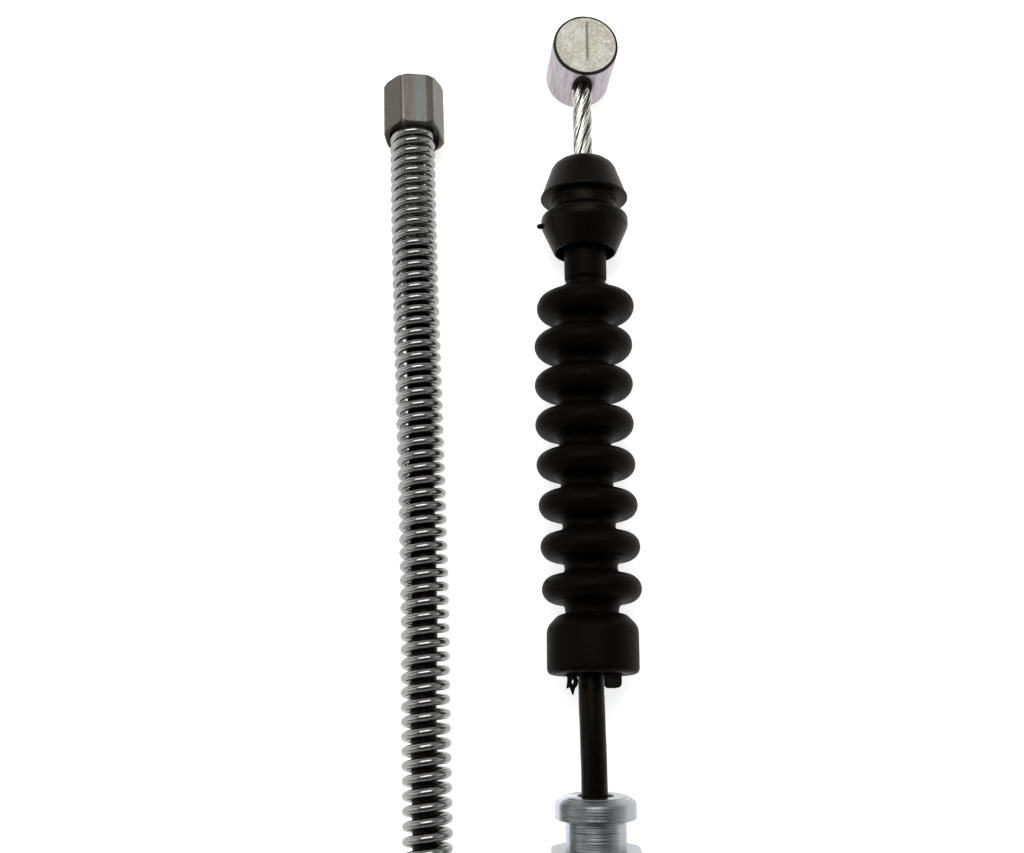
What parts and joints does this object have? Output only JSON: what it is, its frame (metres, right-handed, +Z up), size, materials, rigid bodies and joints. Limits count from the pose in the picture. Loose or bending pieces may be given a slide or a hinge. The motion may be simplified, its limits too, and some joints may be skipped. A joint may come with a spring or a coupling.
{
  "type": "Bowden pull cable",
  "caption": "Parking-brake type pull cable with a cast barrel end, a bellows boot on a ferrule, and a sprung hexagonal end fitting; conduit put away in a coil.",
  "frame": {"origin": "bottom centre of both cable ends' bounding box, without the free conduit and its coil; z = 0 is the surface the cable lies on", "axes": "+Y along both ends, towards the barrel and the end fitting; +X towards the lever end; +Z up, away from the surface"},
  "size_m": [0.1096, 0.3071, 0.0196],
  "materials": {
    "cast_zinc": "satin",
    "strand_steel": "satin",
    "fitting_steel": "satin",
    "zinc_plate": "bright zinc plate",
    "plated_wire": "bright zinc plate",
    "armour_steel": "satin",
    "cap_plastic": "satin",
    "boot_rubber": "matte",
    "coat_plastic": "satin",
    "jacket_plastic": "satin",
    "liner_plastic": "satin",
    "seal_rubber": "matte",
    "tie_plastic": "satin"
  },
  "bodies": {
    "casing": {"lever_ferrule": "zinc_plate", "lever_hex_nut": "zinc_plate", "lever_crimp_sleeve": "zinc_plate", "lever_wiper_seal": "seal_rubber", "lever_liner": "liner_plastic", "lever_armour_end": "armour_steel", "lever_jacket_end": "jacket_plastic", "lever_conduit": "jacket_plastic", "conduit_coil": "jacket_plastic", "wheel_conduit": "jacket_plastic", "coil_ties": "tie_plastic", "wheel_ferrule": "zinc_plate", "wheel_crimp_sleeve": "zinc_plate", "wheel_wiper_seal": "seal_rubber", "wheel_liner": "liner_plastic", "wheel_armour_end": "armour_steel", "wheel_jacket_end": "jacket_plastic", "spring_seat": "zinc_plate", "return_spring": "plated_wire"},
    "lever_cable": {"barrel_end": "cast_zinc", "lever_strand": "strand_steel", "lever_core_coat": "coat_plastic"},
    "wheel_cable": {"end_fitting": "fitting_steel", "wheel_strand": "strand_steel", "wheel_core_coat": "coat_plastic"},
    "boot_collar": {"boot_collar": "boot_rubber"},
    "boot_cap": {"boot_cap": "cap_plastic", "bellows": "boot_rubber"}
  },
  "joints": [
    {"name": "lever_pull", "type": "slide", "parent": "casing", "child": "lever_cable", "axis": [0, 0.9996, -0.0279], "range_m": [0, 0.025], "deforming": ["lever_core_coat", "lever_strand"]},
    {"name": "wheel_follow", "type": "slide", "parent": "casing", "child": "wheel_cable", "axis": [-0.0279, 0.9992, -0.0297], "range_m": [-0.025, 0], "stiffness_N_per_m": 1250, "deforming": ["return_spring"]},
    {"name": "boot_slide", "type": "slide", "parent": "lever_cable", "child": "boot_collar", "axis": [0, 0.9996, -0.0279], "range_m": [-0.0135, 0.004]},
    {"name": "bellows_stretch", "type": "slide", "parent": "boot_collar", "child": "boot_cap", "axis": [0, 0.9996, -0.0279], "range_m": [-0.012, 0.005], "stiffness_N_per_m": 200, "deforming": ["bellows"]}
  ],
  "couplings": [
    {"joint": "wheel_follow", "follows": "lever_pull", "ratio": -1}
  ]
}
